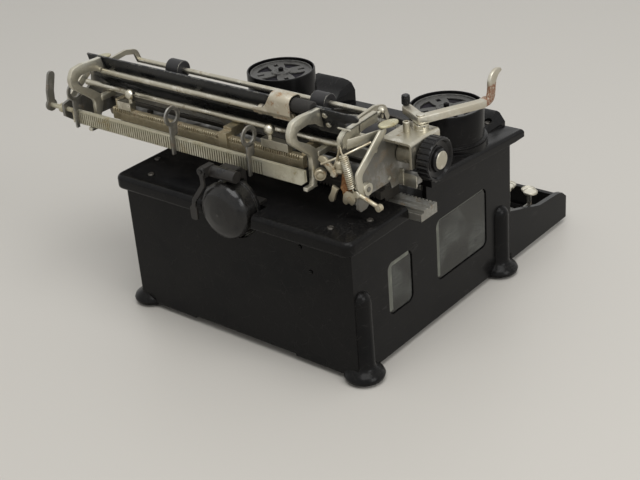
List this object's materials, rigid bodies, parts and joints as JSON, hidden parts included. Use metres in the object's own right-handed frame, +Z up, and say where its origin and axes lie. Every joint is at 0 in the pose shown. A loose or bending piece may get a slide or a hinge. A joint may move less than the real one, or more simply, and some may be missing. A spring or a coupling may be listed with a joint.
{
  "type": "desk typewriter",
  "caption": "Black enamelled front-strike desk typewriter with glass side panes, open carriage, spring drum and four rows of round keys",
  "frame": {"origin": "middle of the footprint box of the whole machine, on the surface it stands on", "axes": "+X to the operator's right, +Y to the rear, +Z up"},
  "size_m": [0.4054, 0.3686, 0.235],
  "materials": {
    "enamel": "gloss",
    "nickel": "satin",
    "steel": "satin",
    "dark_steel": "satin",
    "platen_rubber": "matte",
    "foot_rubber": "matte",
    "glass": "gloss"
  },
  "bodies": {
    "body": {"main_case": "enamel", "rubber_feet": "foot_rubber", "window_panes": "glass", "rear_deck": "enamel", "front_deck": "enamel", "front_plate": "enamel", "keyboard_frame": "enamel", "deck_screws": "steel", "key_lever_shaft": "steel", "key_lever_comb": "dark_steel", "type_segment": "steel", "typebars": "steel", "segment_carrier": "dark_steel", "type_guard": "enamel", "type_guide": "steel", "spool_cup_left": "enamel", "spool_cup_right": "enamel", "drum_bracket": "enamel", "carriage_rail": "steel", "escape_bracket": "steel"},
    "truck": {"carriage_truck": "steel"},
    "carriage": {"carriage_frame": "steel", "tab_rack": "nickel", "tab_stops": "nickel", "margin_rack": "steel", "carriage_rods": "nickel", "paper_table": "dark_steel", "paper_table_arms": "nickel", "lever_housing": "nickel", "release_linkage": "steel", "paper_pan": "steel"},
    "platen_set": {"platen": "platen_rubber", "platen_shaft": "steel", "knob_left": "enamel", "knob_right": "enamel"},
    "key_row_1": {"key_row_1": "steel"},
    "key_row_2": {"key_row_2": "steel"},
    "key_row_3": {"key_row_3": "steel"},
    "key_row_4": {"key_row_4": "steel"},
    "sample_key": {"sample_key": "steel"},
    "sample_typebar": {"sample_typebar": "steel"},
    "shift_keys": {"shift_keys": "steel"},
    "shift_lock_key": {"shift_lock_key": "steel"},
    "margin_release_key": {"margin_release_key": "steel"},
    "tab_key": {"tab_key": "steel"},
    "backspace_key": {"backspace_key": "steel"},
    "space_bar": {"space_bar": "dark_steel"},
    "ribbon_spool_left": {"ribbon_spool_left": "dark_steel"},
    "ribbon_spool_right": {"ribbon_spool_right": "dark_steel"},
    "spring_drum": {"spring_drum": "enamel"},
    "drum_lever": {"drum_lever": "enamel"},
    "escape_wheel": {"escape_wheel": "steel"},
    "return_lever": {"return_lever": "nickel"},
    "paper_guide": {"paper_guide": "nickel"},
    "paper_bail": {"paper_bail": "dark_steel"},
    "release_lever_left": {"release_lever_left": "nickel"},
    "release_lever_right": {"release_lever_right": "nickel"},
    "margin_stop_left": {"margin_stop_left": "steel"},
    "margin_stop_right": {"margin_stop_right": "steel"},
    "tab_lever": {"tab_lever": "nickel"}
  },
  "joints": [
    {"name": "carriage_travel", "type": "slide", "parent": "body", "child": "truck", "axis": [-1, 0, 0], "range_m": [-0.077, 0.177]},
    {"name": "carriage_shift", "type": "slide", "parent": "truck", "child": "carriage", "axis": [0, 0, 1], "range_m": [0, 0.006]},
    {"name": "platen_turn", "type": "hinge", "parent": "carriage", "child": "platen_set", "pos_m": [-0.04075, 0.07715, 0.179], "axis": [1, 0, 0], "continuous": true},
    {"name": "key_row_1_press", "type": "hinge", "parent": "body", "child": "key_row_1", "pos_m": [-0.04075, 0.14035, 0.024], "axis": [1, 0, 0], "range_deg": [0, 2.9], "stiffness_Nm_per_rad": 2, "springref_deg": -34.38},
    {"name": "key_row_2_press", "type": "hinge", "parent": "body", "child": "key_row_2", "pos_m": [-0.04075, 0.14035, 0.024], "axis": [1, 0, 0], "range_deg": [0, 2.69], "stiffness_Nm_per_rad": 2, "springref_deg": -34.38},
    {"name": "key_row_3_press", "type": "hinge", "parent": "body", "child": "key_row_3", "pos_m": [-0.04075, 0.14035, 0.024], "axis": [1, 0, 0], "range_deg": [0, 2.5], "stiffness_Nm_per_rad": 2, "springref_deg": -34.38},
    {"name": "key_row_4_press", "type": "hinge", "parent": "body", "child": "key_row_4", "pos_m": [-0.04075, 0.14035, 0.024], "axis": [1, 0, 0], "range_deg": [0, 2.34], "stiffness_Nm_per_rad": 2, "springref_deg": -34.38},
    {"name": "sample_key_press", "type": "hinge", "parent": "body", "child": "sample_key", "pos_m": [-0.04075, 0.14035, 0.024], "axis": [1, 0, 0], "range_deg": [0, 2.69], "stiffness_Nm_per_rad": 0.4, "springref_deg": -17.19},
    {"name": "shift_press", "type": "hinge", "parent": "body", "child": "shift_keys", "pos_m": [-0.04075, 0.14035, 0.024], "axis": [1, 0, 0], "range_deg": [0, 2.34], "stiffness_Nm_per_rad": 2, "springref_deg": -34.38},
    {"name": "shift_lock_press", "type": "hinge", "parent": "body", "child": "shift_lock_key", "pos_m": [-0.04075, 0.14035, 0.024], "axis": [1, 0, 0], "range_deg": [0, 2.08], "stiffness_Nm_per_rad": 0.4, "springref_deg": -17.19},
    {"name": "margin_release_press", "type": "hinge", "parent": "body", "child": "margin_release_key", "pos_m": [-0.04075, 0.14035, 0.024], "axis": [1, 0, 0], "range_deg": [0, 2.42], "stiffness_Nm_per_rad": 0.4, "springref_deg": -17.19},
    {"name": "tab_press", "type": "hinge", "parent": "body", "child": "tab_key", "pos_m": [-0.04075, 0.14035, 0.024], "axis": [1, 0, 0], "range_deg": [0, 2.24], "stiffness_Nm_per_rad": 0.4, "springref_deg": -17.19},
    {"name": "backspace_press", "type": "hinge", "parent": "body", "child": "backspace_key", "pos_m": [-0.04075, 0.14035, 0.024], "axis": [1, 0, 0], "range_deg": [0, 2.42], "stiffness_Nm_per_rad": 0.4, "springref_deg": -17.19},
    {"name": "space_bar_press", "type": "hinge", "parent": "body", "child": "space_bar", "pos_m": [-0.04075, 0.14035, 0.024], "axis": [1, 0, 0], "range_deg": [0, 1.4], "stiffness_Nm_per_rad": 1, "springref_deg": -34.38},
    {"name": "typebar_swing", "type": "hinge", "parent": "body", "child": "sample_typebar", "pos_m": [-0.04023, 0.01732, 0.12638], "axis": [-0.9999, -0.0144, 0.0015], "range_deg": [0, 119.5]},
    {"name": "ribbon_left_turn", "type": "hinge", "parent": "body", "child": "ribbon_spool_left", "pos_m": [-0.13725, -0.02265, 0.178], "axis": [0, 0, 1], "continuous": true},
    {"name": "ribbon_right_turn", "type": "hinge", "parent": "body", "child": "ribbon_spool_right", "pos_m": [0.05575, -0.02265, 0.178], "axis": [0, 0, 1], "continuous": true},
    {"name": "drum_turn", "type": "hinge", "parent": "body", "child": "spring_drum", "pos_m": [-0.04375, 0.16535, 0.1355], "axis": [0, 1, 0], "continuous": true},
    {"name": "drum_lever_swing", "type": "hinge", "parent": "body", "child": "drum_lever", "pos_m": [-0.02775, 0.18135, 0.171], "axis": [0, -1, 0], "range_deg": [0, 15]},
    {"name": "escape_turn", "type": "hinge", "parent": "body", "child": "escape_wheel", "pos_m": [-0.04075, 0.16535, 0.12854], "axis": [0, 1, 0], "continuous": true},
    {"name": "return_lever_swing", "type": "hinge", "parent": "carriage", "child": "return_lever", "pos_m": [-0.17225, 0.06635, 0.202], "axis": [0, 0, 1], "range_deg": [0, 28], "stiffness_Nm_per_rad": 0.5, "springref_deg": -5.73},
    {"name": "paper_guide_slide", "type": "slide", "parent": "carriage", "child": "paper_guide", "axis": [1, 0, 0], "range_m": [-0.006, 0.1]},
    {"name": "paper_bail_lift", "type": "hinge", "parent": "carriage", "child": "paper_bail", "pos_m": [-0.04075, 0.10535, 0.199], "axis": [-1, 0, 0], "range_deg": [0, 45]},
    {"name": "release_left_press", "type": "hinge", "parent": "carriage", "child": "release_lever_left", "pos_m": [-0.04075, 0.12935, 0.166], "axis": [1, 0, 0], "range_deg": [0, 6], "stiffness_Nm_per_rad": 0.2, "springref_deg": -8.59},
    {"name": "release_right_press", "type": "hinge", "parent": "carriage", "child": "release_lever_right", "pos_m": [-0.04075, 0.12935, 0.166], "axis": [1, 0, 0], "range_deg": [0, 6], "stiffness_Nm_per_rad": 0.2, "springref_deg": -8.59},
    {"name": "margin_left_slide", "type": "slide", "parent": "carriage", "child": "margin_stop_left", "axis": [1, 0, 0], "range_m": [-0.009, 0.038]},
    {"name": "margin_right_slide", "type": "slide", "parent": "carriage", "child": "margin_stop_right", "axis": [1, 0, 0], "range_m": [-0.109, 0.002]},
    {"name": "tab_lever_swing", "type": "hinge", "parent": "carriage", "child": "tab_lever", "pos_m": [-0.04075, 0.14735, 0.1758], "axis": [1, 0, 0], "range_deg": [0, 20], "stiffness_Nm_per_rad": 0.1, "springref_deg": -11.46}
  ],
  "couplings": [
    {"joint": "carriage_shift", "follows": "shift_press", "m_per_rad": 0.146},
    {"joint": "typebar_swing", "follows": "sample_key_press", "ratio": 44.238},
    {"joint": "drum_turn", "follows": "carriage_travel", "rad_per_m": -41.494},
    {"joint": "escape_turn", "follows": "carriage_travel", "rad_per_m": -87.266}
  ]
}
